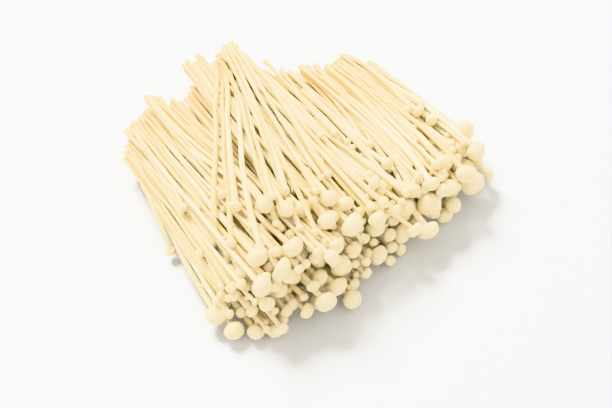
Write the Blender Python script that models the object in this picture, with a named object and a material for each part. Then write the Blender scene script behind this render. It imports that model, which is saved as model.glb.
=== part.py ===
"""Enoki mushroom bunch, lying down with its root block cut away. Metres, +Z up, caps towards -Y.

The bunch is parted by hand into three tufts. A tuft is a pile of clumps, each two to four
mushrooms that grew from one foot and still share it. Each clump is one object, and so is each of
the four mushrooms that came away on their own.
"""
import math

import bmesh
import bpy
import numpy as np
from mathutils import Vector

# ------------------------------------------------------------------------- driving dimensions
SEED = 14
RUNS = 5                            # straight runs from a cut foot to the middle of its cap
STEM_RADIUS = (0.0011, 0.0017)      # slimmest and stoutest clump
MEMBER_GIRTH = (0.85, 1.18)         # a mushroom's stem over its clump's, slimmest and stoutest
CAP_TO_STEM = (2.45, 0.5)           # cap radius over stem radius: mean and spread
CAP_RADIUS = (0.0019, 0.0056)       # smallest and largest cap
FOOT_PITCH = 1.35                   # between stems that share a foot, in stem radii
CUT_SPREAD = 0.001                  # how far the knife's line wanders from clump to clump
MEMBER_CUT = (0, 0.8)               # and within a clump, in CUT_SPREAD
CLEARANCE = 0.0002                  # left between clumps that touch
FLAT_BAND = 0.00035                 # an underside this near the surface is pressed flat on it

# How the stems of a tuft grow from its cut feet to its front. A place in the front is a share of
# the way from side to side (-1 to 1) and from low to high (0 to 1).
CLUMP_SIDE = 0.2                    # spread of a clump's place from side to side
CLUMP_RISE = 0.12                   # and from low to high
MEMBER_SIDE = 0.12                  # the same for one mushroom of the clump
MEMBER_RISE = 0.06
SIDE_LIMIT = 1.05                   # the outermost place that a mushroom may take
FAN = 0.10                          # how far a mushroom's place in the foot turns its cap away
CAP_HEIGHT = 0.003                  # of the lowest caps
CLUMP_SHORT = 0.025                 # spread of a clump's length, as a share of the tuft's
SHORTEST = 0.40                     # the youngest mushroom lacks this share of the tuft's length
YOUNG = (1.3, 3.2)                  # shape of the beta distribution of that share
WAVE = 0.0022                       # how far a stem's guide points stray from an even curve
MEMBER_WAVE = 0.4                   # the same within a clump, as a share of WAVE
LEAVE = 0.33                        # where the guide points are, from the foot and from the cap,
ARRIVE = 0.30                       # as a share of the stem's length

# Each tuft: the two ends, in plan, of its row of cut feet and of its row of front caps, how high
# each row is piled, how far the front bows out, how much the stems arch up and how many degrees
# they bow sideways, how much shorter the upper mushrooms are, and its clumps with the number of
# mushrooms in each, taken in turn.
TUFTS = {
    "left": dict(
        feet=((-0.089, 0.022), (-0.062, 0.051)), feet_height=0.029,
        caps=((-0.018, -0.061), (0.016, -0.058)), caps_height=0.020,
        front_bow=0.004, arch=0.009, side_bow=-6,
        shorter=0.05, clumps=18, members=(4, 3, 3, 3),
    ),
    "middle": dict(
        feet=((-0.058, 0.047), (-0.033, 0.073)), feet_height=0.042,
        caps=((0.000, -0.062), (0.061, -0.033)), caps_height=0.028,
        front_bow=0.001, arch=0.009, side_bow=-3,
        shorter=0.20, clumps=20, members=(4, 4, 4, 3),
    ),
    "right": dict(
        feet=((-0.011, 0.069), (0.038, 0.081)), feet_height=0.018,
        caps=((0.046, -0.024), (0.079, 0.019)), caps_height=0.015,
        front_bow=0.004, arch=0.006, side_bow=5,
        shorter=0.05, clumps=18, members=(3, 3, 2, 3),
    ),
}
# Each loose mushroom: foot, tip, stem radius, and cap radius (none where the cap broke off).
LOOSE = {
    "loose_long_mushroom": ((0.000, 0.052, 0.036), (0.057, -0.025, 0.026), 0.0015, 0.0046),
    "loose_leaning_mushroom": ((-0.064, 0.024, 0.036), (-0.011, -0.040, 0.030), 0.0017, 0.0036),
    "loose_small_mushroom": ((-0.074, 0.002, 0.024), (-0.062, -0.028, 0.012), 0.0010, 0.0023),
    "loose_bare_stem": ((0.000, -0.006, 0.032), (0.027, -0.041, 0.022), 0.0014, 0.0),
}
LOOSE_ARCH = 0.006

NECK = 0.45                         # the stem ends this far below the cap's middle, in cap radii
CAP_PROFILE = ((-0.10, 0.97), (0.50, 0.78), (0.85, 0.0))   # rim, shoulder, top: along, across
SIN_60 = 0.866
FOOT_SHAPE = np.array([(0, 0), (1, 0), (0.5, SIN_60), (-0.5, SIN_60)])   # stems in a shared foot
GRID_REACH = 12                     # columns and rows of feet tried each way from the middle
GRID_MIDDLE = (0.13, 0.21)          # where the tuft's middle falls between them

# Laying the pile down: rounds in which it sags, then rounds in which it only comes to rest.
SAG_ROUNDS = 260
REST_ROUNDS = 300
SAG = 0.00012
CAP_PULL = 0.03                     # how firmly a cap heads for its place in the front
FOOT_PULL = 0.12                    # how firmly a clump's foot keeps its place in the cut row
STIFFNESS = 0.25
NEIGHBOUR = 0.0025                  # runs closer than this are watched,
WATCH_ROUNDS = 12                   # and looked for again after this many rounds
RUN_REACH = 0.6                     # half a run's length and a little more, in lengths
PUSHES = 2                          # times that runs are pressed apart in one round
PUSH = 1.2                          # how much further than needed
CAP_REST = 0.96                     # a lying cap's middle is this high, in cap radii
WELD = 0.00001

COLLECTION = "enoki_mushroom_bunch"
FLESH = (0.93, 0.84, 0.62)          # pale cream of stem and cap
FLESH_SHADE = (0.92, 1.0)           # from the dullest clump to the brightest
FLESH_ROUGHNESS = 0.45
SHARP_EDGE = math.radians(50)


# ------------------------------------------------------------------------------ undisturbed lines
class Bunch:
    """Every mushroom, one row each: its line, stem and cap radius, clump number and clump name."""

    def __init__(self):
        self.line, self.stem, self.cap, self.clump, self.names = [], [], [], [], []

    def add(self, name, line, stem, cap):
        if name not in self.names:
            self.names.append(name)
        self.line.append(line)
        self.stem.append(stem)
        self.cap.append(cap)
        self.clump.append(self.names.index(name))

    def finish(self):
        self.line, self.stem = np.array(self.line), np.array(self.stem)
        self.cap, self.clump = np.array(self.cap), np.array(self.clump)


def packed_feet(count, width, height):
    """Centres of `count` equal circles packed in an ellipse, the middle one first."""
    pitch = math.sqrt(math.pi * width * height / 4 / count / SIN_60)
    reach = range(-GRID_REACH, GRID_REACH + 1)
    grid = np.array([(i + 0.5 * (j % 2), SIN_60 * j) for j in reach for i in reach])
    grid = (grid + GRID_MIDDLE) * pitch
    order = np.argsort((grid[:, 0] / width) ** 2 + (grid[:, 1] / height) ** 2)
    return grid[order[:count]]


def bezier(a, b, c, d):
    """RUNS + 1 points along the cubic that the four control points give."""
    t = np.linspace(0, 1, RUNS + 1)[:, None]
    return (1 - t) ** 3 * a + 3 * (1 - t) ** 2 * t * b + 3 * (1 - t) * t ** 2 * c + t ** 3 * d


def square_to(row):
    """Unit plan vector square to a row of feet or caps, pointing from the feet to the caps."""
    forward = np.array([row[1], -row[0], 0.0])
    return forward / np.linalg.norm(forward)


def turned(way, degrees):
    """A level vector turned in plan, counter-clockwise seen from above."""
    cos, sin = math.cos(math.radians(degrees)), math.sin(math.radians(degrees))
    return np.array([cos * way[0] - sin * way[1], sin * way[0] + cos * way[1], 0.0])


def grow_tuft(bunch, side, tuft, rng):
    """Adds a tuft's clumps: feet in a packed cut face, stems fanning out to their caps."""
    feet_a, feet_b = (np.array([*corner, 0.0]) for corner in tuft["feet"])
    caps_a, caps_b = (np.array([*corner, 0.0]) for corner in tuft["caps"])
    width, height = np.linalg.norm(feet_b - feet_a), tuft["feet_height"]
    across = (feet_b - feet_a) / width
    up = np.array([0.0, 0.0, 1.0])
    ahead, front = square_to(feet_b - feet_a), square_to(caps_b - caps_a)

    for number, (aside, rise) in enumerate(packed_feet(tuft["clumps"], width, height)):
        members = tuft["members"][number % len(tuft["members"])]
        clump_side = np.clip(2 * aside / width + rng.normal(0, CLUMP_SIDE), -1, 1)
        clump_rise = np.clip(rise / height + 0.5 + rng.normal(0, CLUMP_RISE), 0, 1)
        clump_short = rng.normal(0, CLUMP_SHORT)
        clump_wave = rng.normal(0, WAVE, 2)
        clump_stem = rng.uniform(*STEM_RADIUS)
        cut = rng.normal(0, CUT_SPREAD)
        turn = rng.uniform(0, 2 * math.pi)
        shape = FOOT_SHAPE[:members] - FOOT_SHAPE[:members].mean(0)
        shape = shape @ np.array([
            [math.cos(turn), math.sin(turn)],
            [-math.sin(turn), math.cos(turn)],
        ])

        for place in shape:
            stem = clump_stem * rng.uniform(*MEMBER_GIRTH)
            cap = np.clip(stem * rng.normal(*CAP_TO_STEM), *CAP_RADIUS)
            offset = place * clump_stem * FOOT_PITCH
            foot = (feet_a + feet_b) / 2 + across * (aside + offset[0])
            foot = foot + up * (height / 2 + rise + offset[1])
            foot = foot - ahead * (cut + rng.uniform(*MEMBER_CUT) * CUT_SPREAD)

            aim = clump_side + FAN * place[0] + rng.normal(0, MEMBER_SIDE)
            aim = np.clip(aim, -SIDE_LIMIT, SIDE_LIMIT)
            climb = np.clip(clump_rise + FAN * place[1] + rng.normal(0, MEMBER_RISE), 0, 1)
            tip = caps_a + (caps_b - caps_a) * (aim + 1) / 2
            tip = tip + front * tuft["front_bow"] * (1 - aim * aim)
            tip = tip + up * (CAP_HEIGHT + tuft["caps_height"] * climb)
            short = SHORTEST * rng.beta(*YOUNG) + clump_short + tuft["shorter"] * climb
            tip = foot + (tip - foot) * (1 - short)

            wave = clump_wave + rng.normal(0, MEMBER_WAVE * WAVE, 2)
            stray = across * wave[0] + up * abs(wave[1])
            level = (tip - foot) * (1, 1, 0)
            leave = foot + turned(level, tuft["side_bow"]) * LEAVE + stray
            arrive = tip - turned(level, -tuft["side_bow"]) * ARRIVE - stray
            arrive = arrive + up * tuft["arch"] * clump_rise
            name = f"{side}_tuft_clump_{number + 1:02d}"
            bunch.add(name, bezier(foot, leave, arrive, tip), stem, cap)


def add_loose(bunch):
    """Adds the mushrooms that came away on their own and lie across the tufts."""
    for name, (foot, tip, stem, cap) in LOOSE.items():
        foot, tip = np.array(foot), np.array(tip)
        crown = np.array([0.0, 0.0, LOOSE_ARCH * 4 / 3])
        third = (tip - foot) / 3
        bunch.add(name, bezier(foot, foot + third + crown, tip - third + crown, tip), stem, cap)


# ------------------------------------------------------------------------------- lying on the pile
class Runs:
    """The straight runs of every stem, then every cap as a run of no length at its line's end."""

    def __init__(self, bunch):
        count = len(bunch.stem)
        self.owner = np.concatenate([np.repeat(np.arange(count), RUNS), np.arange(count)])
        self.order = np.concatenate([np.tile(np.arange(RUNS), count), np.full(count, RUNS)])
        self.is_cap = self.order == RUNS
        self.first = self.owner * (RUNS + 1) + self.order
        self.last = np.where(self.is_cap, self.first, self.first + 1)
        cap = np.maximum(bunch.cap, bunch.stem)
        self.radius = np.where(self.is_cap, cap[self.owner], bunch.stem[self.owner])
        self.clump = bunch.clump[self.owner]
        length = np.linalg.norm(bunch.line[:, 1] - bunch.line[:, 0], axis=1)[self.owner]
        self.reach = self.radius + np.where(self.is_cap, 0, RUN_REACH * length)

    def near(self, points, within):
        """Pairs of runs that are closer than `within`. Runs fused in one foot aren't pairs."""
        middle = (points[self.first] + points[self.last]) / 2
        apart = ((middle[:, None] - middle[None]) ** 2).sum(-1)
        limit = (self.reach[:, None] + self.reach[None] + within) ** 2
        a, b = np.nonzero(np.triu(apart < limit, 1))
        fused = (self.clump[a] == self.clump[b]) & (self.order[a] == 0) & (self.order[b] == 0)
        keep = (self.owner[a] != self.owner[b]) & ~fused
        a, b = a[keep], b[keep]
        keep = self.gap(points, a, b)[0] < within
        return a[keep], b[keep]

    def gap(self, points, a, b):
        """Free space between paired runs, the way from b to a, and the nearest places on both."""
        a0, a1, b0, b1 = (points[i] for i in (self.first[a], self.last[a],
                                              self.first[b], self.last[b]))
        u, v, w = a1 - a0, b1 - b0, a0 - b0
        uu, uv, vv = (u * u).sum(-1), (u * v).sum(-1), (v * v).sum(-1)
        uw, vw = (u * w).sum(-1), (v * w).sum(-1)
        tiny = 1e-15
        uu, vv = np.maximum(uu, tiny), np.maximum(vv, tiny)
        s = np.clip((uv * vw - vv * uw) / np.maximum(uu * vv - uv * uv, tiny * tiny), 0, 1)
        t = np.clip((uv * s + vw) / vv, 0, 1)
        s = np.clip((uv * t - uw) / uu, 0, 1)
        way = a0 + u * s[:, None] - b0 - v * t[:, None]
        apart = np.maximum(np.linalg.norm(way, axis=1), 1e-9)
        return apart - self.radius[a] - self.radius[b], way / apart[:, None], s, t


def press_apart(points, runs, a, b):
    """Moves the ends of every two runs that are closer than CLEARANCE, half the way each."""
    gap, way, s, t = runs.gap(points, a, b)
    tight = gap < CLEARANCE
    a, b, s, t, way = a[tight], b[tight], s[tight], t[tight], way[tight]
    push = way * ((CLEARANCE - gap[tight]) / 2)[:, None]
    move, weight = np.zeros_like(points), np.zeros(len(points))
    for run, place, sign in ((a, s, 1), (b, t, -1)):
        even = place ** 2 + (1 - place) ** 2
        for end, share in ((runs.first[run], 1 - place), (runs.last[run], place)):
            np.add.at(move, end, sign * push * (share / even)[:, None])
            np.add.at(weight, end, share)
    return points + PUSH * move / np.maximum(weight, 1)[:, None]


def lay_down(bunch):
    """Lets the pile sag on the surface and on itself until no two clumps share any space."""
    line = bunch.line.copy()
    runs = Runs(bunch)
    clumps = len(bunch.names)
    size = np.bincount(bunch.clump)[:, None]
    held = np.array([name not in LOOSE for name in bunch.names])[bunch.clump][:, None]
    low = np.repeat(bunch.stem[:, None], RUNS + 1, axis=1)
    low[:, -1] = np.maximum(CAP_REST * bunch.cap, bunch.stem)

    def foot_middle():
        total = np.zeros((clumps, 3))
        np.add.at(total, bunch.clump, line[:, 0])
        return (total / size)[bunch.clump]

    cut_row = foot_middle()
    foot_shape = line[:, 0] - cut_row
    caps_place = line[:, -1].copy()
    length = np.linalg.norm(np.diff(line, axis=1), axis=2).mean(1)[:, None]
    natural_bend = line[:, :-2] - 2 * line[:, 1:-1] + line[:, 2:]

    for step in range(SAG_ROUNDS + REST_ROUNDS):
        if step % WATCH_ROUNDS == 0:
            a, b = runs.near(line.reshape(-1, 3), NEIGHBOUR)
        straighten = ((line[:, :-2] + line[:, 2:] - natural_bend) / 2 - line[:, 1:-1]) * STIFFNESS
        line[:, 1:-1] += straighten
        line[:, :-2] -= straighten / 4
        line[:, 2:] -= straighten / 4
        sagging = step < SAG_ROUNDS
        if sagging:
            sag = SAG * (1 - step / SAG_ROUNDS)
            line[:, 1:, 2] -= sag
            line[:, 0, 2] -= sag * ~held[:, 0]
            line[:, -1] += (caps_place - line[:, -1]) * CAP_PULL * held
        points = line.reshape(-1, 3)
        for _ in range(PUSHES):
            points = press_apart(points, runs, a, b)
        line = points.reshape(line.shape)
        line[:, 0] = foot_middle() + foot_shape
        if sagging:
            line[:, 0] += (cut_row - foot_middle()) * FOOT_PULL * held
        lift = np.maximum(low - line[:, :, 2], 0)
        clump_lift = np.zeros(clumps)
        np.maximum.at(clump_lift, bunch.clump, lift[:, 0])
        lift[:, 0] = clump_lift[bunch.clump]
        line[:, :, 2] += lift
        for k in range(1, RUNS + 1):
            way = line[:, k] - line[:, k - 1]
            line[:, k] = line[:, k - 1] + way / np.linalg.norm(way, axis=1)[:, None] * length

    # A run that is still squeezed is slimmer there, as soft stems are.
    points = line.reshape(-1, 3)
    a, b = runs.near(points, CLEARANCE)
    short = (CLEARANCE - runs.gap(points, a, b)[0]) / 2
    slim = np.zeros(len(runs.radius))
    np.maximum.at(slim, a, short)
    np.maximum.at(slim, b, short)
    runs.radius -= slim
    girth = runs.radius[~runs.is_cap].reshape(-1, RUNS)
    before = np.concatenate([girth[:, :1], girth[:, :-1]], axis=1)
    cap = np.where(bunch.cap > 0, runs.radius[runs.is_cap], 0)
    return line, np.minimum(girth, before), cap


# ----------------------------------------------------------------------------------------- solids
def profile(line, girth, cap):
    """Points and radii of one mushroom, from its cut foot to the top of its cap."""
    stations = list(zip(line[:-1], girth))
    middle = line[-1]
    ahead = (line[-1] - line[-2]) / np.linalg.norm(line[-1] - line[-2])
    if cap == 0:
        return stations + [(middle, girth[-1])]
    stations.append((middle - ahead * NECK * cap, girth[-1]))
    for along, across in CAP_PROFILE:
        stations.append((middle + ahead * along * cap, across * cap))
    return stations


def mushroom(name, stations, collection):
    """A six-sided tube along the stations, closed at the foot and drawn to a point at the top."""
    curve = bpy.data.curves.new(name, "CURVE")
    curve.dimensions = "3D"
    curve.twist_mode = "Z_UP"
    curve.bevel_mode = "ROUND"
    curve.bevel_depth = STEM_RADIUS[1]
    curve.bevel_resolution = 1
    curve.use_fill_caps = True
    spline = curve.splines.new("POLY")
    spline.points.add(len(stations) - 1)
    for point, (place, radius) in zip(spline.points, stations):
        point.co = (*place, 1.0)
        point.radius = radius / curve.bevel_depth
    tube = bpy.data.objects.new(name, curve)
    collection.objects.link(tube)
    solid = as_mesh(tube, name, collection)
    shell = bmesh.new()
    shell.from_mesh(solid.data)
    bmesh.ops.remove_doubles(shell, verts=shell.verts, dist=WELD)
    bmesh.ops.recalc_face_normals(shell, faces=shell.faces)
    shell.to_mesh(solid.data)
    shell.free()
    return solid


def as_mesh(source, name, collection):
    """Replaces an object by a plain mesh of its evaluated shape."""
    graph = bpy.context.evaluated_depsgraph_get()
    graph.update()
    mesh = bpy.data.meshes.new_from_object(source.evaluated_get(graph))
    solid = bpy.data.objects.new(name, mesh)
    solid.matrix_world = source.matrix_world
    collection.objects.link(solid)
    bpy.data.objects.remove(source)
    solid.name = name
    return solid


def grown_together(name, members, collection):
    """One solid of the mushrooms that share a foot."""
    whole, others = members[0], members[1:]
    if not others:
        whole.name = name
        return whole
    joined = bpy.data.collections.new(name)
    for other in others:
        joined.objects.link(other)
    union = whole.modifiers.new("shared_foot", "BOOLEAN")
    union.operation = "UNION"
    union.solver = "EXACT"
    union.operand_type = "COLLECTION"
    union.collection = joined
    whole = as_mesh(whole, name, collection)
    for other in others:
        bpy.data.objects.remove(other)
    bpy.data.collections.remove(joined)
    return whole


def flesh(name, shade):
    """The cream flesh of one clump."""
    material = bpy.data.materials.new(name)
    material.use_nodes = True
    surface = material.node_tree.nodes["Principled BSDF"]
    surface.inputs["Base Color"].default_value = (*(channel * shade for channel in FLESH), 1.0)
    surface.inputs["Roughness"].default_value = FLESH_ROUGHNESS
    surface.inputs["Metallic"].default_value = 0.0
    return material


def rest_on_surface(solid, foot):
    """Presses the underside flat where it meets the surface, and puts the origin at the foot."""
    for vertex in solid.data.vertices:
        if vertex.co.z < FLAT_BAND:
            vertex.co.z = 0.0
        vertex.co = vertex.co - foot
    solid.location = foot


# ------------------------------------------------------------------------------------------ build
for leftover in list(bpy.data.objects):
    bpy.data.objects.remove(leftover)
parts = bpy.data.collections.new(COLLECTION)
bpy.context.scene.collection.children.link(parts)

random = np.random.default_rng(SEED)
bunch = Bunch()
for side_name, tuft_sizes in TUFTS.items():
    grow_tuft(bunch, side_name, tuft_sizes, random)
add_loose(bunch)
bunch.finish()
lines, girths, caps = lay_down(bunch)

solids = []
for index, clump_name in enumerate(bunch.names):
    rows = np.nonzero(bunch.clump == index)[0]
    grown = [
        mushroom(f"{clump_name}_{row}", profile(lines[row], girths[row], caps[row]), parts)
        for row in rows
    ]
    clump_solid = grown_together(clump_name, grown, parts)
    clump_solid.data.materials.clear()
    clump_solid.data.materials.append(flesh(clump_name, random.uniform(*FLESH_SHADE)))
    clump_solid.data.shade_smooth()
    clump_solid.data.set_sharp_from_angle(angle=SHARP_EDGE)
    rest_on_surface(clump_solid, Vector(lines[rows, 0].mean(0)))
    solids.append(clump_solid)

# The origin is the middle of the whole bunch's box, on the surface that it lies on.
bpy.context.view_layer.update()
corners = np.array([solid.matrix_world @ v.co for solid in solids for v in solid.data.vertices])
bunch_middle = (corners.min(0) + corners.max(0)) / 2
whole_bunch = bpy.data.objects.new(COLLECTION, None)
parts.objects.link(whole_bunch)
whole_bunch.location = (-bunch_middle[0], -bunch_middle[1], 0.0)
for solid in solids:
    solid.parent = whole_bunch
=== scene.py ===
import math

import bmesh
import bpy
import numpy as np
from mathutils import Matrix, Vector


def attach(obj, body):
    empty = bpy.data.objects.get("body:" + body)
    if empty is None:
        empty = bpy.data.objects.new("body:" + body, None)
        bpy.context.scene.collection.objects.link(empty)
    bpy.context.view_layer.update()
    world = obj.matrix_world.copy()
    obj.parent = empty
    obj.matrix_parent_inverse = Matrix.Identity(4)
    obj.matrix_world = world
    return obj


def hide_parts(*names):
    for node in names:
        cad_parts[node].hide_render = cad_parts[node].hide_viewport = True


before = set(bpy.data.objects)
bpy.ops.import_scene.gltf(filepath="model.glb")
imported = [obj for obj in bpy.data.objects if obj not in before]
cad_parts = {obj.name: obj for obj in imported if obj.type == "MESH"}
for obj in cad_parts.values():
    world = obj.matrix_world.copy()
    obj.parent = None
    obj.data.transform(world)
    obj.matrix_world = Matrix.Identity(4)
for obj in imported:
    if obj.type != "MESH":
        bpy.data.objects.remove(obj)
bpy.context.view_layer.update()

# ------------------------------------------------------------------------------------------ camera
# The bunch lies in the middle of the view, seen from the side that its caps point to and from well
# above the table, through a rather long lens.
CAMERA_ELEVATION = math.radians(55)
CAMERA_DISTANCE = 0.56
CAMERA_LENS = 68.6
CAMERA_SENSOR = 36.0
LOOK_AT = Vector((-0.0015, -0.0027, 0.0))

camera_data = bpy.data.cameras.new("camera")
camera_data.lens = CAMERA_LENS
camera_data.sensor_width = CAMERA_SENSOR
camera = bpy.data.objects.new("camera", camera_data)
bpy.context.scene.collection.objects.link(camera)
to_camera = Vector((0.0, -math.cos(CAMERA_ELEVATION), math.sin(CAMERA_ELEVATION)))
camera.location = LOOK_AT + to_camera * CAMERA_DISTANCE
camera.rotation_euler = to_camera.to_track_quat("Z", "Y").to_euler()
bpy.context.scene.camera = camera

# --------------------------------------------------------------------------- how the mushrooms lie
# A clump is two to four mushrooms that grew from one foot, and its solid says how they lie: one
# corner at the top of every cap, three rings of six corners down the cap, then six corners round
# each bend of the stem. Walked from the top to the foot, they give every line and girth.
RING = 6                       # corners of a ring
SAME_PLACE = 1e-6              # corners that are nearer than this are one
EVEN = 1.1                     # the longest edge from a cap's top over the shortest, at most,
TOP_EDGE = 0.006               # and its length, at most
WHOLE_LINE = 9                 # rings of a mushroom whose own foot is whole, its top among them
RIM_WIDTH = 0.97               # the rim's ring, in cap radii,
RIM_BELOW_MIDDLE = 0.10        # and how far it is under the cap's middle
TORN_TIP = 0.35                # girth left at the end of a stem whose cap broke off


class Mushroom:
    """A line from the foot to the middle of the cap, the stem's radii along it, and the cap's."""

    def __init__(self, line, girth, cap):
        self.line, self.girth, self.cap = np.array(line), np.array(girth), cap


def rings_from(start):
    """Rings of corners from a cap's top or a stem's end towards the foot, while they are whole."""
    rings, seen = [start], set(start)
    while True:
        beyond = []
        for corner in rings[-1]:
            for edge in corner.link_edges:
                other = edge.other_vert(corner)
                if other not in seen:
                    seen.add(other)
                    beyond.append(other)
        if len(beyond) != RING:
            return rings
        rings.append(beyond)


def middle(ring):
    return sum((corner.co for corner in ring), Vector()) / len(ring)


def radius(ring):
    centre = middle(ring)
    return sum((corner.co - centre).length for corner in ring) / len(ring)


def foot_beyond(rings):
    """The stem's foot: as far past the last ring as the one before it, square to the sides."""
    last, before = rings[-1], rings[-2]
    sides = {face for corner in last for face in corner.link_faces}
    sides -= {face for corner in before for face in corner.link_faces}
    normals = np.array([face.normal for face in sides])
    way = Vector(np.linalg.eigh(normals.T @ normals)[1][:, 0])
    run = middle(last) - middle(before)
    if way.dot(run) < 0:
        way.negate()
    return middle(last) + way * run.length


def mushrooms_of(node):
    """Every mushroom of one clump or loose piece."""
    solid = bmesh.new()
    solid.from_mesh(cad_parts[node].data)
    bmesh.ops.remove_doubles(solid, verts=solid.verts, dist=SAME_PLACE)
    found = []
    for corner in solid.verts:
        edges = [edge.calc_length() for edge in corner.link_edges]
        if len(edges) != RING or max(edges) > EVEN * min(edges) or max(edges) > TOP_EDGE:
            continue
        rings = rings_from([corner])
        rim, neck, bends = rings[2], rings[3], rings[4:]
        cap = radius(rim) / RIM_WIDTH
        upwards = (middle(rim) - middle(neck)).normalized()
        line = [middle(rim) + upwards * RIM_BELOW_MIDDLE * cap] + [middle(ring) for ring in bends]
        girth = [radius(ring) for ring in [neck] + bends]
        if len(rings) < WHOLE_LINE:
            line.append(foot_beyond(rings))
            girth.append(girth[-1])
        found.append(Mushroom(line[::-1], girth[::-1], cap))
    if not found:                # a bare stem
        front = min(solid.verts, key=lambda corner: corner.co.y).co.copy()
        end = sorted(solid.verts, key=lambda corner: (corner.co - front).length)[:RING]
        rings = rings_from(end)
        girth = [radius(ring) for ring in rings]
        girth[0] *= TORN_TIP
        found.append(Mushroom([middle(ring) for ring in rings][::-1], girth[::-1], 0.0))
    solid.free()
    return found


clumps = {node: mushrooms_of(node) for node in sorted(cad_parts)}

# ------------------------------------------------------------------------------------------- flesh
# One material for stem and cap, as on the real thing: firm, moist, creamy white flesh that lets
# some light through. The stem has long fine fibres and is yellower towards its foot; the cap is
# whiter and smoother, with a warmer crown and pale gills underneath.
STEM_CREAM = (0.95, 0.80, 0.46, 1.0)
STEM_PALE = (0.98, 0.94, 0.79, 1.0)
FOOT_YELLOW = (0.93, 0.76, 0.42, 1.0)
CAP_WHITE = (0.96, 0.865, 0.62, 1.0)
CROWN_WARM = (0.95, 0.81, 0.50, 1.0)
GILL_CREAM = (0.92, 0.78, 0.50, 1.0)
FIBRES_ROUND = 3.2               # how fast the fibres change round a stem,
FIBRES_ALONG = 9.0               # and from one end of it to the other
OWN_FIBRES = 40.0                # sets the fibres of two mushrooms apart
CLOUD_SCALE = 140.0              # faint patches, for each metre,
GRAIN_SCALE = 1500.0             # and the pores of the skin
FIBRES_SHOW = 2.2                # in the stem's colour,
TINTS_SHOW = 0.7                 # and how far one mushroom's differs from the next one's
PALE_FROM = 0.35                 # fibres over this are paler than the rest
FOOT_SHARE = 0.42                # of the stem, yellower than the rest
CROWN_SHARE = 0.34               # of the way from the cap's top to the middle of its underside
GILLS_START = 0.64               # on that way,
GILLS_SHARP = 9.0                # how sharply they start,
GILLS_SHOW = 0.8                 # and how much of their colour shows
ROUGHNESS = 0.35
CLOUDS_ROUGHEN = 0.30
FIBRES_ROUGHEN = 0.10
ROUGHNESS_RANGE = (0.25, 0.7)
RELIEF_DEPTH = 0.0004            # of the skin,
FIBRE_RELIEF = 0.6               # and the shares of it that fibres,
GRAIN_RELIEF = 0.12              # pores
CLOUD_RELIEF = 0.3               # and patches have
RELIEF_STRENGTH = 0.28
LIGHT_REACH = 0.0016             # how far light spreads under the skin,
LIGHT_SHARE = 0.45               # how much of it does,
LIGHT_COLOURS = (1.0, 0.7, 0.4)  # and how far its red, green and blue go
MOISTURE = 0.12                  # a thin wet coat
MOISTURE_ROUGHNESS = 0.25


class Value:
    """A node's output. Expressions with it and with numbers add Math nodes to its tree."""

    def __init__(self, tree, output=None):
        self.tree, self.output = tree, output

    def node(self, kind, settings=None, inputs=None, output=0):
        """Adds a node of a kind, with its settings, then its sockets' values or links."""
        made = self.tree.nodes.new(kind)
        for name, setting in (settings or {}).items():
            if name == "curve":
                points = made.mapping.curves[0].points
                while len(points) < len(setting):
                    points.new(0.5, 0.5)
                for point, place in zip(points, setting):
                    point.location = place
                made.mapping.update()
            else:
                setattr(made, name, setting)
        for name, value in (inputs or {}).items():
            if isinstance(value, Value):
                self.tree.links.new(value.output, made.inputs[name])
            else:
                made.inputs[name].default_value = value
        return Value(self.tree, made.outputs[output])

    def also(self, output):
        """Another output of the same node."""
        return Value(self.tree, self.output.node.outputs[output])

    def maths(self, operation, *values):
        return self.node("ShaderNodeMath", {"operation": operation}, dict(enumerate(values)))

    def vector(self, operation, *values):
        inputs = {3 if operation == "SCALE" and n == 1 else n: v for n, v in enumerate(values)}
        return self.node("ShaderNodeVectorMath", {"operation": operation}, inputs)

    def __add__(self, other):
        return self.maths("ADD", self, other)

    def __sub__(self, other):
        return self.maths("SUBTRACT", self, other)

    def __rsub__(self, other):
        return self.maths("SUBTRACT", other, self)

    def __mul__(self, other):
        return self.maths("MULTIPLY", self, other)

    def __truediv__(self, other):
        return self.maths("DIVIDE", self, other)

    def __pow__(self, other):
        return self.maths("POWER", self, other)

    def clipped(self, low, high):
        return self.maths("MINIMUM", self.maths("MAXIMUM", self, low), high)

    __radd__ = __add__


def mixed(share, first, second):
    """A colour between two colours."""
    settings = {"data_type": "RGBA"}
    return share.node("ShaderNodeMix", settings, {0: share, 6: first, 7: second}, 2)


flesh = bpy.data.materials.new("mushroom_flesh")
flesh.use_nodes = True
shader = flesh.node_tree.nodes["Principled BSDF"]
start = Value(flesh.node_tree)


def attribute(name, output="Fac"):
    return start.node("ShaderNodeAttribute", {"attribute_name": name}, output=output)


is_cap = attribute("is_cap")
dome = attribute("dome")
along = attribute("along")
own_tint = attribute("tint")
around = attribute("around", "Vector")
place = start.node("ShaderNodeTexCoord", output="Object")

# Long fibres: noise that is squeezed round the stem and drawn out along it.
length_wise = along * FIBRES_ALONG + own_tint * OWN_FIBRES
length_wise = start.node("ShaderNodeCombineXYZ", None, {"Z": length_wise})
fibre_place = around.vector("ADD", around.vector("SCALE", around, FIBRES_ROUND), length_wise)


def noise(where, scale, detail):
    inputs = {"Vector": where, "Scale": scale, "Detail": detail}
    return start.node("ShaderNodeTexNoise", None, inputs)


fibres = noise(fibre_place, scale=1.0, detail=3.0)
clouds = noise(place, CLOUD_SCALE, detail=3.0)
grain = noise(place, GRAIN_SCALE, detail=2.0)


def patchy(nearness, sharpness, patches, most):
    """How much of a colour there is where something is near, with faint patches in it."""
    return (nearness * sharpness + (clouds - 0.5) * patches).clipped(0.0, most)


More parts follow.
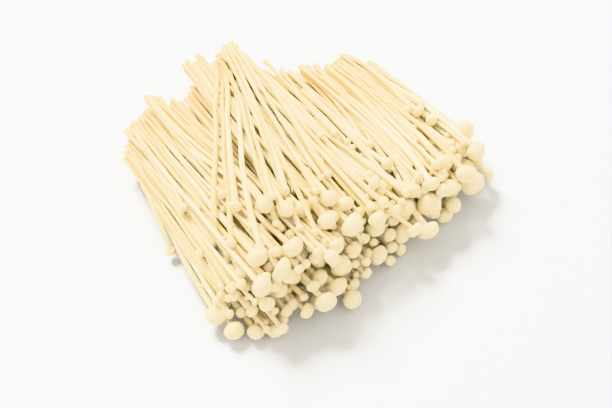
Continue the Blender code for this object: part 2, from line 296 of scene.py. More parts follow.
paleness = (fibres - PALE_FROM) * FIBRES_SHOW + (own_tint - 0.5) * TINTS_SHOW
stem_colour = mixed(paleness.clipped(0.0, 1.0), STEM_CREAM, STEM_PALE)
yellowing = patchy(FOOT_SHARE - along, sharpness=1.6, patches=0.8, most=0.55)
stem_colour = mixed(yellowing, stem_colour, FOOT_YELLOW)
crown = patchy(CROWN_SHARE - dome, sharpness=1.5, patches=1.2, most=0.5)
cap_colour = mixed(crown, CAP_WHITE, CROWN_WARM)
gills = ((dome - GILLS_START) * GILLS_SHARP).clipped(0.0, GILLS_SHOW)
cap_colour = mixed(gills, cap_colour, GILL_CREAM)
colour = mixed(is_cap, stem_colour, cap_colour)
flesh.node_tree.links.new(colour.output, shader.inputs["Base Color"])

roughness = ROUGHNESS + (clouds - 0.5) * CLOUDS_ROUGHEN + (fibres - 0.5) * FIBRES_ROUGHEN
roughness = roughness.clipped(*ROUGHNESS_RANGE)
flesh.node_tree.links.new(roughness.output, shader.inputs["Roughness"])

height = fibres * (1.0 - is_cap) * FIBRE_RELIEF + grain * GRAIN_RELIEF + clouds * CLOUD_RELIEF
bump = start.node("ShaderNodeBump", None, {
    "Height": height, "Strength": RELIEF_STRENGTH, "Distance": RELIEF_DEPTH,
})
flesh.node_tree.links.new(bump.output, shader.inputs["Normal"])
shader.subsurface_method = "BURLEY"
shader.inputs["Subsurface Weight"].default_value = LIGHT_SHARE
shader.inputs["Subsurface Radius"].default_value = LIGHT_COLOURS
shader.inputs["Subsurface Scale"].default_value = LIGHT_REACH
shader.inputs["Coat Weight"].default_value = MOISTURE
shader.inputs["Coat Roughness"].default_value = MOISTURE_ROUGHNESS

# ---------------------------------------------------------------------------- how a mushroom grows
# The stem is a round, slightly fluted and wavy tube, a little swollen at its foot and under the
# cap, with a dished cut face where the root block was sliced away. The cap is a smooth dome with a
# curled rim, gills underneath, and a lean and shape of its own.
STEM_SIDES = 16
STEM_RINGS = 60
CAP_SEGMENTS = 40
CAP_RINGS = 24
WAVE = 0.0006                    # how far a free stem strays from its line
WAVES = 32.0                     # for each metre
FREE_MIDDLE = 8.0                # a stem is held at its foot and its cap, and free in between
FLUTES = 0.10                    # in stem radii, as are the next two
OVAL = 0.07
LUMPS = 0.22
FLUTES_ROUND = 1.5               # how fast the flutes change round a stem,
FLUTES_ALONG = 4.0               # and from one end of it to the other,
LUMPS_ALONG = 7.0                # as do the lumps,
OVAL_TWIST = 5.0                 # and how far the oval turns
LEAN = math.radians(22)          # of a cap, each way
ALL_ROUND = 6.28                 # a cap may be turned any way
CAP_HEIGHT = (0.86, 1.04)        # over that of the outlines below
CAP_NARROW = (0.78, 0.98)        # its one width over the other
NOTCHES_ROUND = 0.9              # how fast a rim's width changes round it
NOTCHES = 0.22                   # in cap radii, as is the next
DEEPEST_NOTCH = 0.2
# A mushroom's own number from 0 to 1, its tint, times one of these sets it apart from the others.
OWN_WAVE = 12.0
OWN_LUMPS = 60.0
OWN_OVAL = 300.0
OWN_FLUTES = 50.0
OWN_NOTCHES = 80.0
OWN_CHANCES = 9999.0
# The cut face has rings that lie closer together than those of the stem. Over the first rings of
# all, from the middle of the face (0) on, the curves say how wide they are and how deeply dished.
FACE_RINGS = 3.0
CUT_STEP = 0.0004                # share of the line from the middle of the face to the next ring
CUT_RINGS = 8.0                  # rings that the curves run over
CUT_FACE = ((0.0, 0.28), (0.125, 0.80), (0.25, 0.95), (0.375, 1.0), (1.0, 1.0))
CUT_DISH = ((0.0, 0.50), (0.125, 0.12), (0.25, 0.0), (1.0, 0.0))
# The stem's radius from its foot (0) to its cap (1), where 0.5 is what its line says.
SWELL = ((0.0, 0.60), (0.08, 0.50), (0.3, 0.45), (0.7, 0.50), (0.9, 0.58), (1.0, 0.55))
# Caps from the top of the crown (0) round the rim to the middle of the underside (1): how far out,
# in cap radii, and how high, where 0.5 is the middle and 1 a radius above it, closed and open.
CLOSED_OUT = ((0.0, 0.0), (0.12, 0.40), (0.25, 0.73), (0.38, 0.94), (0.5, 1.0), (0.6, 0.93),
              (0.68, 0.77), (0.76, 0.52), (0.85, 0.32), (1.0, 0.0))
CLOSED_UP = ((0.0, 0.94), (0.12, 0.91), (0.25, 0.82), (0.38, 0.68), (0.5, 0.51), (0.6, 0.37),
             (0.68, 0.28), (0.76, 0.24), (0.85, 0.27), (1.0, 0.40))
OPEN_OUT = ((0.0, 0.0), (0.12, 0.39), (0.25, 0.73), (0.38, 0.95), (0.47, 1.0), (0.55, 0.97),
            (0.62, 0.87), (0.68, 0.77), (0.80, 0.45), (1.0, 0.0))
OPEN_UP = ((0.0, 0.90), (0.12, 0.88), (0.25, 0.80), (0.38, 0.67), (0.47, 0.55), (0.55, 0.45),
           (0.62, 0.41), (0.68, 0.43), (0.80, 0.51), (1.0, 0.55))
GILL_DEPTH = 0.035
GILLS = (0.62, 0.95)             # where they start and end on the underside,
GILL_FADE = 12.0                 # and how quickly
RESTING = 0.0001                 # the underside is pressed flat this far above the table
SEED_LEAN_X, SEED_LEAN_Y, SEED_TURN, SEED_OPEN, SEED_HEIGHT, SEED_NARROW = range(1, 7)

growth = bpy.data.node_groups.new("grown_mushrooms", "GeometryNodeTree")
growth.is_modifier = True
GROWN_SIZES = {
    "Stem Sides": STEM_SIDES,
    "Stem Rings": STEM_RINGS,
    "Cap Segments": CAP_SEGMENTS,
    "Cap Rings": CAP_RINGS,
    "Wave": WAVE,
    "Flutes": FLUTES,
    "Oval": OVAL,
    "Lean": LEAN,
}
growth.interface.new_socket("Lines", in_out="INPUT", socket_type="NodeSocketGeometry")
for size_name, size in GROWN_SIZES.items():
    socket_kind = "NodeSocketInt" if isinstance(size, int) else "NodeSocketFloat"
    growth.interface.new_socket(size_name, in_out="INPUT", socket_type=socket_kind)
growth.interface.new_socket("Flesh", in_out="INPUT", socket_type="NodeSocketMaterial")
growth.interface.new_socket("Mushrooms", in_out="OUTPUT", socket_type="NodeSocketGeometry")
grow = Value(growth)
given = grow.node("NodeGroupInput")


def named(name, kind="FLOAT"):
    """An attribute of the geometry at hand."""
    return grow.node("GeometryNodeInputNamedAttribute", {"data_type": kind}, {"Name": name})


def stored(geometry, name, value, kind="FLOAT"):
    settings = {"data_type": kind, "domain": "POINT"}
    inputs = {"Geometry": geometry, "Name": name, "Value": value}
    return grow.node("GeometryNodeStoreNamedAttribute", settings, inputs)


def moved(geometry, **where):
    inputs = {"Geometry": geometry}
    inputs.update({name.capitalize(): value for name, value in where.items()})
    return grow.node("GeometryNodeSetPosition", None, inputs)


def shaped(share, points):
    """A smooth curve through the points, read at a share from 0 to 1."""
    return grow.node("ShaderNodeFloatCurve", {"curve": points}, {"Value": share})


def chance(low, high, seed):
    """A number of the mushroom's own."""
    inputs = {2: low, 3: high, "ID": named("tint") * OWN_CHANCES, "Seed": seed}
    return grow.node("FunctionNodeRandomValue", {"data_type": "FLOAT"}, inputs, 1)


# Stems. Rings stand close together in the cut face and evenly after that.
lines = grow.node("GeometryNodeMeshToCurve", None, {"Mesh": given.also("Lines")})
lines = grow.node("GeometryNodeCurveSplineType", {"spline_type": "CATMULL_ROM"}, {"Curve": lines})
stems = grow.node("GeometryNodeResampleCurve", {"mode": "COUNT"}, {
    "Curve": lines, "Count": given.also("Stem Rings"),
})
ring = grow.node("GeometryNodeSplineParameter", output="Index")
even = (ring - FACE_RINGS) / (given.also("Stem Rings") - (FACE_RINGS + 1.0))
share = grow.maths("MAXIMUM", grow.maths("MINIMUM", ring, FACE_RINGS) ** 2.0 * CUT_STEP, even)
spline = grow.node("GeometryNodeFieldOnDomain", {"domain": "CURVE", "data_type": "INT"}, {
    0: grow.node("GeometryNodeInputIndex"),
})
on_line = grow.node(
    "GeometryNodeSampleCurve",
    {"mode": "FACTOR", "use_all_curves": False},
    {"Curves": lines, "Factor": share, "Curve Index": spline},
    "Position",
)
stems = moved(stems, position=on_line)
stems = stored(stems, "along", share)
stems = stored(stems, "ring", ring)
position = grow.node("GeometryNodeInputPosition")


def wandering(where, height, detail, output=0):
    """Noise at a place, moved up by a height that has the mushroom's own tint in it."""
    where = grow.vector("ADD", where, grow.node("ShaderNodeCombineXYZ", None, {"Z": height}))
    inputs = {"Vector": where, "Scale": 1.0, "Detail": detail}
    return grow.node("ShaderNodeTexNoise", None, inputs, output)


wave_place = grow.vector("SCALE", position, WAVES)
wave = wandering(wave_place, named("tint") * OWN_WAVE, detail=1.0, output="Color")
wave = grow.vector("SUBTRACT", wave, (0.5, 0.5, 0.5))
free = named("along") * (1.0 - named("along")) * FREE_MIDDLE
stems = moved(stems, offset=grow.vector("SCALE", wave, free * given.also("Wave") * 2.0))
stems = stored(stems, "way", grow.node("GeometryNodeInputTangent"), "FLOAT_VECTOR")

cut = (named("ring") / CUT_RINGS).clipped(0.0, 1.0)
lumps_place = grow.node("ShaderNodeCombineXYZ", None, {
    "X": named("along") * LUMPS_ALONG, "Y": named("tint") * OWN_LUMPS,
})
lumps = grow.node("ShaderNodeTexNoise", None, {"Vector": lumps_place, "Scale": 1.0, "Detail": 1.0})
girth = named("girth") * shaped(named("along"), SWELL) * 2.0 * shaped(cut, CUT_FACE)
girth = girth * (1.0 + (lumps - 0.5) * LUMPS)
outline = grow.node("GeometryNodeCurvePrimitiveCircle", None, {
    "Resolution": given.also("Stem Sides"), "Radius": 1.0,
})
outline = stored(outline, "around", position, "FLOAT_VECTOR")
tubes = grow.node("GeometryNodeCurveToMesh", None, {
    "Curve": stems, "Profile Curve": outline, "Scale": girth, "Fill Caps": True,
})

turn = grow.node("ShaderNodeSeparateXYZ", None, {"Vector": named("around", "FLOAT_VECTOR")})
angle = grow.maths("ARCTAN2", turn.also("Y"), turn)
turned_on = named("along") * OVAL_TWIST
oval = grow.maths("COSINE", angle * 2.0 + turned_on + named("tint") * OWN_OVAL)
flute_place = grow.vector("SCALE", named("around", "FLOAT_VECTOR"), FLUTES_ROUND)
flute_height = named("along") * FLUTES_ALONG + named("tint") * OWN_FLUTES
flutes = wandering(flute_place, flute_height, detail=2.0)
out = (flutes - 0.5) * 2.0 * given.also("Flutes") + oval * given.also("Oval")
out = out * named("girth") * (named("ring") / FACE_RINGS).clipped(0.0, 1.0)
tubes = moved(tubes, offset=grow.vector("SCALE", grow.node("GeometryNodeInputNormal"), out))
dish = shaped(cut, CUT_DISH) * named("girth")
tubes = moved(tubes, offset=grow.vector("SCALE", named("way", "FLOAT_VECTOR"), dish))

# Caps. Each starts as a ball at the origin that knows where it belongs.
tips = stored(stems, "place", position, "FLOAT_VECTOR")
upright = grow.node("FunctionNodeAlignRotationToVector", {"axis": "Z"}, {
    "Vector": named("way", "FLOAT_VECTOR"),
})
lean = grow.node("ShaderNodeCombineXYZ", None, {
    "X": chance(-1.0, 1.0, SEED_LEAN_X) * given.also("Lean"),
    "Y": chance(-1.0, 1.0, SEED_LEAN_Y) * given.also("Lean"),
    "Z": chance(0.0, ALL_ROUND, SEED_TURN),
})
lean = grow.node("FunctionNodeEulerToRotation", None, {"Euler": lean})
leaning = grow.node("FunctionNodeRotateRotation", {"rotation_space": "LOCAL"}, {
    "Rotation": upright, "Rotate By": lean,
})
tips = stored(tips, "leaning", leaning, "QUATERNION")
tips = moved(tips, position=(0.0, 0.0, 0.0))
at_top = grow.node("GeometryNodeCurveEndpointSelection", None, {"Start Size": 0, "End Size": 1})
has_cap = grow.maths("MULTIPLY", at_top, grow.maths("GREATER_THAN", named("cap"), 0.0))
ball = grow.node("GeometryNodeMeshUVSphere", None, {
    "Segments": given.also("Cap Segments"), "Rings": given.also("Cap Rings"), "Radius": 1.0,
})
split = grow.node("ShaderNodeSeparateXYZ", None, {"Vector": position})
ball = stored(ball, "dome", grow.maths("ARCCOSINE", split.also("Z")) / math.pi)
level = grow.node("ShaderNodeCombineXYZ", None, {"X": split, "Y": split.also("Y")})
ball = stored(ball, "around", grow.vector("NORMALIZE", level), "FLOAT_VECTOR")
caps = grow.node("GeometryNodeInstanceOnPoints", None, {
    "Points": tips, "Selection": has_cap, "Instance": ball,
})
caps = grow.node("GeometryNodeRealizeInstances", None, {"Geometry": caps})
openness = chance(0.0, 1.0, SEED_OPEN) ** 2.0


def between(closed, opened):
    settings = {"data_type": "FLOAT"}
    inputs = {0: openness, 2: shaped(named("dome"), closed), 3: shaped(named("dome"), opened)}
    return grow.node("ShaderNodeMix", settings, inputs)


rim_place = grow.vector("SCALE", named("around", "FLOAT_VECTOR"), NOTCHES_ROUND)
rim = wandering(rim_place, named("tint") * OWN_NOTCHES + named("dome"), detail=1.0)
notches = (rim * NOTCHES).clipped(0.0, DEEPEST_NOTCH)
across = between(CLOSED_OUT, OPEN_OUT) * (1.0 - notches)
up = (between(CLOSED_UP, OPEN_UP) - 0.5) * 2.0 * chance(*CAP_HEIGHT, SEED_HEIGHT)
split_around = grow.node("ShaderNodeSeparateXYZ", None, {"Vector": named("around", "FLOAT_VECTOR")})
cap_angle = grow.maths("ARCTAN2", split_around.also("Y"), split_around)
# One gill for every two segments of the cap.
gill = grow.maths("COSINE", cap_angle * given.also("Cap Segments") * 0.5)
fades_in = ((named("dome") - GILLS[0]) * GILL_FADE).clipped(0.0, 1.0)
fades_out = ((GILLS[1] - named("dome")) * GILL_FADE).clipped(0.0, 1.0)
up = up + gill * (fades_in * fades_out) * GILL_DEPTH
squeeze = chance(*CAP_NARROW, SEED_NARROW)
own_shape = grow.node("ShaderNodeCombineXYZ", None, {
    "X": split_around * across * squeeze, "Y": split_around.also("Y") * across, "Z": up,
})
own_shape = grow.vector("SCALE", own_shape, named("cap"))
turned = grow.node("FunctionNodeRotateVector", None, {
    "Vector": own_shape, "Rotation": named("leaning", "QUATERNION"),
})
caps = moved(caps, position=grow.vector("ADD", turned, named("place", "FLOAT_VECTOR")))
caps = stored(caps, "is_cap", 1.0)

whole = growth.nodes.new("GeometryNodeJoinGeometry")
growth.links.new(caps.output, whole.inputs[0])
growth.links.new(tubes.output, whole.inputs[0])
whole = Value(growth, whole.outputs[0])
corners = grow.node("ShaderNodeSeparateXYZ", None, {"Vector": position})
pressed_flat = grow.node("ShaderNodeCombineXYZ", None, {
    "X": corners, "Y": corners.also("Y"), "Z": grow.maths("MAXIMUM", corners.also("Z"), RESTING),
})
whole = moved(whole, position=pressed_flat)
whole = grow.node("GeometryNodeSetShadeSmooth", None, {"Geometry": whole})
whole = grow.node("GeometryNodeRealizeInstances", None, {"Geometry": whole})
whole = grow.node("GeometryNodeSetMaterial", None, {
    "Geometry": whole, "Material": given.also("Flesh"),
})
result = growth.nodes.new("NodeGroupOutput")
growth.links.new(whole.output, result.inputs[0])

# -------------------------------------------------------------------------------------- the clumps
# Each clump of firm flesh grew from one foot on the root block, and was sliced off there. Its stems
# are slimmer above the foot, and its caps are soft and full and press each other aside in front, so
# each cap takes its own stem's end along. Mushrooms that came loose are pieces of their own.
SLIMMER = (0.70, 1.0)              # a stem above its foot, over the stoutest it may be
FULLER = (1.14, 1.34)              # a cap over its plain solid
STATIONS = 72                      # balls that stand for the room of one mushroom
CAP_TOUCH = 0.94                   # how near two caps come, in their radii, before they press
CAP_ROUNDS = 60                    # of pressing
CAP_CLEARS = 2                     # a round clears a half of each lap with a cap
STEM_CLEARS = 3                    # and a third of each lap with another's stem,
STEM_EVERY = 2                     # as measured at every second station of it,
CLEAR_OF_CAP = 4                   # up to this many of them from that one's own cap
CAP_FOLLOWS = (0.1, 0.4, 1.0)      # how far the stem's last bends follow the cap
CAP_MOVES = 0.0035                 # and the furthest that a cap goes
SEED = 3


def lines_mesh(name, mushrooms):
    """The lines of some mushrooms as a mesh of edges, with their sizes on its points."""
    points, edges, sizes = [], [], {"girth": [], "cap": [], "tint": []}
    for mushroom, tint in zip(mushrooms, random.uniform(0, 1, len(mushrooms))):
        first = len(points)
        points += [tuple(point) for point in mushroom.line]
        edges += [(k, k + 1) for k in range(first, len(points) - 1)]
        sizes["girth"] += list(mushroom.girth)
        sizes["cap"] += [mushroom.cap] * len(mushroom.line)
        sizes["tint"] += [tint] * len(mushroom.line)
    mesh = bpy.data.meshes.new(name)
    mesh.from_pydata(points, edges, [])
    for size_name, values in sizes.items():
        mesh.attributes.new(size_name, "FLOAT", "POINT").data.foreach_set("value", values)
    return mesh


def grown(name, mushrooms, sizes):
    """A piece grown along the lines of some mushrooms, as a plain mesh."""
    guide = bpy.data.objects.new(name + "_lines", lines_mesh(name + "_lines", mushrooms))
    bpy.context.scene.collection.objects.link(guide)
    modifier = guide.modifiers.new("growth", "NODES")
    modifier.node_group = growth
    for socket in growth.interface.items_tree:
        if socket.name in sizes:
            modifier[socket.identifier] = sizes[socket.name]
        elif socket.name == "Flesh":
            modifier[socket.identifier] = flesh
    graph = bpy.context.evaluated_depsgraph_get()
    mesh = bpy.data.meshes.new_from_object(guide.evaluated_get(graph), depsgraph=graph)
    bpy.data.objects.remove(guide)
    piece = bpy.data.objects.new(name, mesh)
    bpy.context.scene.collection.objects.link(piece)
    return piece


def smooth_weights(bends, stations):
    """What each bend of a line counts for at each station of the smooth curve through the bends."""
    weights = np.zeros((stations, bends))
    for row, place_on_line in enumerate(np.linspace(0, bends - 1, stations)):
        first = min(int(place_on_line), bends - 2)
        t = place_on_line - first
        cubic = (2 * t**2 - t - t**3, 2 - 5 * t**2 + 3 * t**3, t + 4 * t**2 - 3 * t**3, t**3 - t**2)
        for bend, weight in zip(range(first - 1, first + 3), cubic):
            weights[row, min(max(bend, 0), bends - 1)] += weight / 2
    return weights


def balls(mushroom):
    """The room that a mushroom takes, as balls along it: their middles and radii."""
    weights = smooth_weights(len(mushroom.line), STATIONS)
    radii = weights @ mushroom.girth
    radii[-1] = max(mushroom.cap * CAP_TOUCH, radii[-1])
    return np.column_stack([weights @ mushroom.line, radii])


def press_caps_apart(mushrooms):
    """Moves caps off each other and off the stems beside them."""
    tips = np.array([mushroom.line[-1] for mushroom in mushrooms])
    radii = np.array([mushroom.cap for mushroom in mushrooms]) * CAP_TOUCH
    rooms = [balls(mushroom)[:-CLEAR_OF_CAP:STEM_EVERY] for mushroom in mushrooms]
    owner = np.repeat(np.arange(len(rooms)), [len(room) for room in rooms])
    stems = np.concatenate(rooms)
    others = owner[None] != np.arange(len(tips))[:, None]
    home = tips.copy()
    for _ in range(CAP_ROUNDS):
        ways = tips[:, None] - tips[None]
        apart = np.linalg.norm(ways, axis=2) + np.eye(len(tips))
        lap = np.maximum(radii[:, None] + radii[None] - apart, 0) * (1 - np.eye(len(tips)))
        push = (ways * (lap / apart)[..., None]).sum(1) / CAP_CLEARS
        ways = tips[:, None] - stems[None, :, :3]
        apart = np.linalg.norm(ways, axis=2)
        lap = np.maximum(radii[:, None] + stems[None, :, 3] - apart, 0) * others
        push += (ways * (lap / apart)[..., None]).sum(1) / STEM_CLEARS
        tips = tips + push
        strayed = np.linalg.norm(tips - home, axis=1)[:, None]
        tips = home + (tips - home) * np.minimum(1, CAP_MOVES / np.maximum(strayed, SAME_PLACE))
        tips[:, 2] = np.maximum(tips[:, 2], radii)
    for mushroom, move in zip(mushrooms, tips - home):
        mushroom.line[-len(CAP_FOLLOWS):] += np.outer(CAP_FOLLOWS, move)


random = np.random.default_rng(SEED)
everyone = [mushroom for mushrooms in clumps.values() for mushroom in mushrooms]
for mushroom in everyone:
    mushroom.girth[1:] *= random.uniform(*SLIMMER)
    mushroom.cap *= random.uniform(*FULLER)
press_caps_apart(everyone)
for node, mushrooms in clumps.items():
    piece = grown(node + "_grown", mushrooms, GROWN_SIZES)
    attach(piece, "root")
    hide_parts(node)

# ---------------------------------------------------------------------------------- the young ones
# Thinner, younger mushrooms of the same flesh fill the gaps between the older ones of every tuft,
# from the cut face on. Half of them reach the front; the others are shorter, and their caps lie
# between the stems. They are held by the press of the others round them.
YOUNG_PER_OLD = 4.2                # young mushrooms tried for each older one
YOUNG_GIRTH = (0.0007, 0.0012)     # radius of the stem
YOUNG_CAP = (1.8, 3.0)             # cap over stem
LONG_CAP = (2.2, 3.7)              # the same for those that reach the front, where there is room
YOUNG_LENGTH = (0.62, 1.0)         # in lengths of the older ones beside it,
LONG_SHARE = 0.5                   # and this share of the young reaches the older caps
YOUNG_SIDES = (0.3, 0.7)           # from one of the two older ones beside it to the other
NEIGHBOURS = 8                     # older mushrooms, nearest foot first, that it may grow between
LOWEST_LIKELY = 0.7                # for a chance of 1.7 at the highest foot
YOUNG_PIECES = 2                   # for each tuft
YOUNG_SIZES = dict(GROWN_SIZES)
YOUNG_SIZES.update({"Stem Sides": 10, "Stem Rings": 40, "Cap Segments": 20, "Cap Rings": 12})
WATCH = 0.009                      # what is further away than this isn't in the way,
WATCH_EVERY = 3                    # as measured from every third station
PRESS_STATIONS = 36                # places on the line that feel the others
PRESS_ROUNDS = 24
PRESS_SHARE = 0.12                 # of an overlap, cleared by one round
STIFF = 0.08                       # of a bend, straightened by one round
SQUEEZE = 0.00035                  # soft stems may be pressed in by this, on average


def squares_apart(places, others):
    """Squares of the distances between every two points of two lists."""
    return (places**2).sum(1)[:, None] + (others**2).sum(1)[None] - 2 * places @ others.T


def mushrooms_in(tuft):
    """The older mushrooms of one tuft."""
    return [
        mushroom for node, mushrooms in clumps.items() if node.startswith(tuft)
        for mushroom in mushrooms
    ]


def settled(line, girth, cap, crowd, sag=0.0):
    """The line pressed clear of a crowd of balls, and how hard it is still pressed."""
    weights = smooth_weights(len(line), PRESS_STATIONS)
    sizes = np.full(len(weights), girth)
    sizes[-1] = cap * CAP_TOUCH
    few = (weights @ line)[::WATCH_EVERY]
    near = crowd[squares_apart(few, crowd[:, :3]).min(0) < WATCH**2]
    limits = sizes[:, None] + near[None, :, 3]
    line = line.copy()
    for _ in range(PRESS_ROUNDS):
        line[1:, 2] -= sag       # all but the foot
        places = weights @ line
        station, ball = np.nonzero(squares_apart(places, near[:, :3]) < limits**2)
        ways = places[station] - near[ball, :3]
        apart = np.linalg.norm(ways, axis=1) + SAME_PLACE
        laps = limits[station, ball] - apart
        push, worst = np.zeros_like(places), np.zeros(len(places))
        np.add.at(push, station, ways * (laps / apart)[:, None])
        np.maximum.at(worst, station, laps)
        push[:, 2] += np.maximum(sizes - places[:, 2], 0)
        line = line + weights.T @ push * PRESS_SHARE
        line[1:-1] += (line[:-2] + line[2:] - 2 * line[1:-1]) * STIFF
    return line, worst.mean()


def cut_short(line, length):
    """The line up to a share of its length, in as many runs as before."""
    places = np.linspace(0, length, len(line)) * (len(line) - 1)
    return np.column_stack([np.interp(places, range(len(line)), line[:, n]) for n in range(3)])


crowd = np.concatenate([balls(mushroom) for mushroom in everyone])
for tuft in ("left_tuft", "middle_tuft", "right_tuft"):
    hosts = mushrooms_in(tuft)
    feet = np.array([host.line[0] for host in hosts])
    likely = LOWEST_LIKELY + (feet[:, 2] - feet[:, 2].min()) / np.ptp(feet[:, 2])
    young = []
    for _ in range(int(YOUNG_PER_OLD * len(hosts))):
        first = random.choice(len(hosts), p=likely / likely.sum())
        nearest = np.argsort(np.linalg.norm(feet - feet[first], axis=1))
        second = nearest[random.integers(1, NEIGHBOURS)]
        share = random.uniform(*YOUNG_SIDES)
        girth = random.uniform(*YOUNG_GIRTH)
        is_long = random.uniform() < LONG_SHARE
        cap = girth * random.uniform(*(LONG_CAP if is_long else YOUNG_CAP))
        length = 1.0 if is_long else random.uniform(*YOUNG_LENGTH)
        line = hosts[first].line * share + hosts[second].line * (1 - share)
        line, pressed = settled(cut_short(line, length), girth, cap, crowd)
        if pressed < SQUEEZE:
            young.append(Mushroom(line, np.full(len(line), girth), cap))
            crowd = np.concatenate([crowd, balls(young[-1])])
    for number in range(YOUNG_PIECES):
        some = young[number::YOUNG_PIECES]
        name = f"{tuft}_young_mushrooms_{number + 1}"
        piece = grown(name, some, YOUNG_SIZES)
        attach(piece, "root")

# ------------------------------------------------------------------------- the ones in the parting
# Where the middle and the right tuft were pulled apart, a wedge of thin young mushrooms stayed
# between their feet. They lie on each other from the table up, and end among the older stems where
# the tufts still meet.
PARTING_FEET = (-0.040, 0.004)     # from left to right, of the older mushrooms on both sides
PARTING_TRIED = 90                 # young mushrooms, from the lowest to the highest
PARTING_SIDES = (0.08, 0.92)       # from the right side to the left side
PARTING_LENGTH = (0.55, 1.0)       # in lengths of the older ones on both sides
FOOT_HEIGHT = (0.08, 1.05)         # over that of the older feet beside it, from the table up

sides = [
    [
        mushroom for mushroom in mushrooms_in(tuft)
        if PARTING_FEET[0] < mushroom.line[0, 0] < PARTING_FEET[1]
    ]
    for tuft in ("middle_tuft", "right_tuft")
]
between_tufts = []
for foot_height in np.linspace(*FOOT_HEIGHT, PARTING_TRIED):
    left, right = (side[random.integers(len(side))] for side in sides)
    share = random.uniform(*PARTING_SIDES)
    girth = random.uniform(*YOUNG_GIRTH)
    cap = girth * random.uniform(*YOUNG_CAP)
    line = left.line * share + right.line * (1 - share)
    line[:, 2] *= np.linspace(foot_height, 1, len(line))
    line, pressed = settled(cut_short(line, random.uniform(*PARTING_LENGTH)), girth, cap, crowd)
    if pressed < SQUEEZE:
        between_tufts.append(Mushroom(line, np.full(len(line), girth), cap))
        crowd = np.concatenate([crowd, balls(between_tufts[-1])])
piece = grown("parting_young_mushrooms", between_tufts, YOUNG_SIZES)
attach(piece, "root")

# --------------------------------------------------------------------------------- the fanned ones
# When the bunch was parted, some slim mushrooms on top of the middle tuft sprang apart. They lie
# across the left tuft like the ribs of a fan, each resting on whatever is under it, and hold to
# the bunch by their feet only.
FANNED = 12
FAN_WAY = (math.radians(3), math.radians(30))     # from straight ahead, towards the right
FAN_WANDER = math.radians(1.2)
FAN_LENGTH = (0.088, 0.112)
FAN_GIRTH = (0.0009, 0.0014)
FAN_CAP = (1.9, 2.7)               # cap over stem
FAN_BOW = 0.005                    # how far the stem bows aside, at most,
FAN_BOWED = (-0.4, 1)              # and each one's share of it
FAN_FEET = ((-0.047, -0.036), (0.026, 0.041))     # from left to right, and from low to high
FAN_BENDS = 7
FAN_SAG = 0.00012                  # that one round of settling lets it sink
LAY_STATIONS = 30                  # places on the stem that lie on what is under them
LIFTED = 4                         # stations next to the foot that keep clear of what they cross

tops = [
    mushroom.line[0] for mushroom in mushrooms_in("middle_tuft")
    if all(low < at < high for at, (low, high) in zip(mushroom.line[0][::2], FAN_FEET))
]
tops.sort(key=lambda foot: foot[0])
shares = np.linspace(0, 1, LAY_STATIONS)


def laid_over(plan, foot_height, girth):
    """Heights at which a stem lies taut over the crowd below it."""
    level = np.linalg.norm(plan[:, None] - crowd[None, :, :2], axis=2)
    rise = np.maximum((crowd[None, :, 3] + girth) ** 2 - level ** 2, 0)
    under = np.where(rise > 0, crowd[None, :, 2] + np.sqrt(rise), girth).max(1)
    ramp = np.linspace(foot_height, under[LIFTED], LIFTED + 1)
    under[:LIFTED] = np.minimum(under[:LIFTED], ramp[:LIFTED])
    height = under.copy()
    for before in range(LAY_STATIONS):
        for after in range(before + 2, LAY_STATIONS):
            taut = np.linspace(under[before], under[after], after - before + 1)
            height[before:after + 1] = np.maximum(height[before:after + 1], taut)
    return height


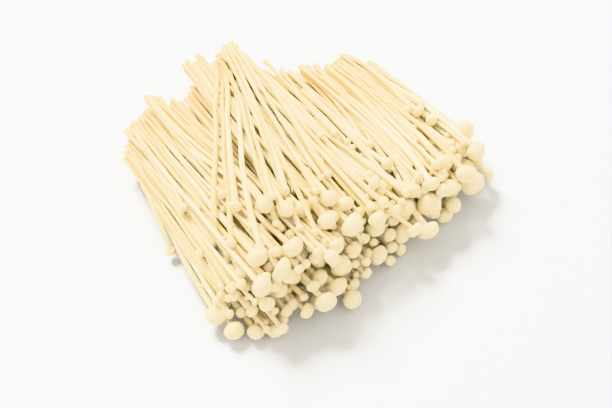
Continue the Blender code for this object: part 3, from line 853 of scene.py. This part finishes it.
fanned = []
for number in range(FANNED):
    foot = tops[number * len(tops) // FANNED]
    girth = random.uniform(*FAN_GIRTH)
    cap = girth * random.uniform(*FAN_CAP)
    way = np.interp(number, (0, FANNED - 1), FAN_WAY) + random.normal(0, FAN_WANDER)
    ahead = np.array((math.sin(way), -math.cos(way)))
    aside = np.array((-ahead[1], ahead[0])) * FAN_BOW * random.uniform(*FAN_BOWED)
    plan = foot[:2] + np.outer(shares, ahead * random.uniform(*FAN_LENGTH))
    plan += np.outer(np.sin(shares * math.pi), aside)
    lying = np.column_stack([plan, laid_over(plan, foot[2], girth)])
    bends = np.linspace(0, 1, FAN_BENDS)
    line = np.column_stack([np.interp(bends, shares, lying[:, n]) for n in range(3)])
    line = settled(line, girth, cap, crowd, FAN_SAG)[0]
    line = settled(line, girth, cap, crowd)[0]
    fanned.append(Mushroom(line, np.full(FAN_BENDS, girth), cap))
    crowd = np.concatenate([crowd, balls(fanned[-1])])
piece = grown("fanned_mushrooms", fanned, YOUNG_SIZES)
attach(piece, "root")

# --------------------------------------------------------------------------------- table and light
# A plain pale table under soft studio light: a panel high up behind on the left, a wider and much
# weaker one in front on the right, and an even pale surround.
TABLE_SIZE = 3.0
TABLE_PALE = (0.70, 0.72, 0.75, 1.0)
TABLE_ROUGHNESS = 0.7
PANELS = {                         # place, width, power and colour
    "key_panel": (Vector((-0.45, 0.65, 0.95)), 0.42, 26.0, (1.0, 1.0, 1.0)),
    "fill_panel": (Vector((0.7, -0.7, 0.7)), 0.9, 1.2, (1.0, 0.98, 0.96)),
}
SURROUND = (1.0, 0.955, 0.89, 1.0)
SURROUND_STRENGTH = 1.05

half = TABLE_SIZE / 2
table_corners = [(-half, -half, 0), (half, -half, 0), (half, half, 0), (-half, half, 0)]
table_mesh = bpy.data.meshes.new("table_top")
table_mesh.from_pydata(table_corners, [], [(0, 1, 2, 3)])
table_top = bpy.data.objects.new("table_top", table_mesh)
bpy.context.scene.collection.objects.link(table_top)
table_paint = bpy.data.materials.new("table_paint")
table_paint.use_nodes = True
table_shader = table_paint.node_tree.nodes["Principled BSDF"]
table_shader.inputs["Base Color"].default_value = TABLE_PALE
table_shader.inputs["Roughness"].default_value = TABLE_ROUGHNESS
table_mesh.materials.append(table_paint)

for panel_name, (spot, width, power, tint) in PANELS.items():
    panel_data = bpy.data.lights.new(panel_name, "AREA")
    panel_data.size, panel_data.energy, panel_data.color = width, power, tint
    panel = bpy.data.objects.new(panel_name, panel_data)
    panel.location = spot
    panel.rotation_euler = spot.to_track_quat("Z", "Y").to_euler()
    bpy.context.scene.collection.objects.link(panel)

surround = bpy.data.worlds.new("surround")
surround.use_nodes = True
backdrop = surround.node_tree.nodes["Background"]
backdrop.inputs["Color"].default_value = SURROUND
backdrop.inputs["Strength"].default_value = SURROUND_STRENGTH
bpy.context.scene.world = surround
bpy.context.scene.view_settings.view_transform = "Khronos PBR Neutral"
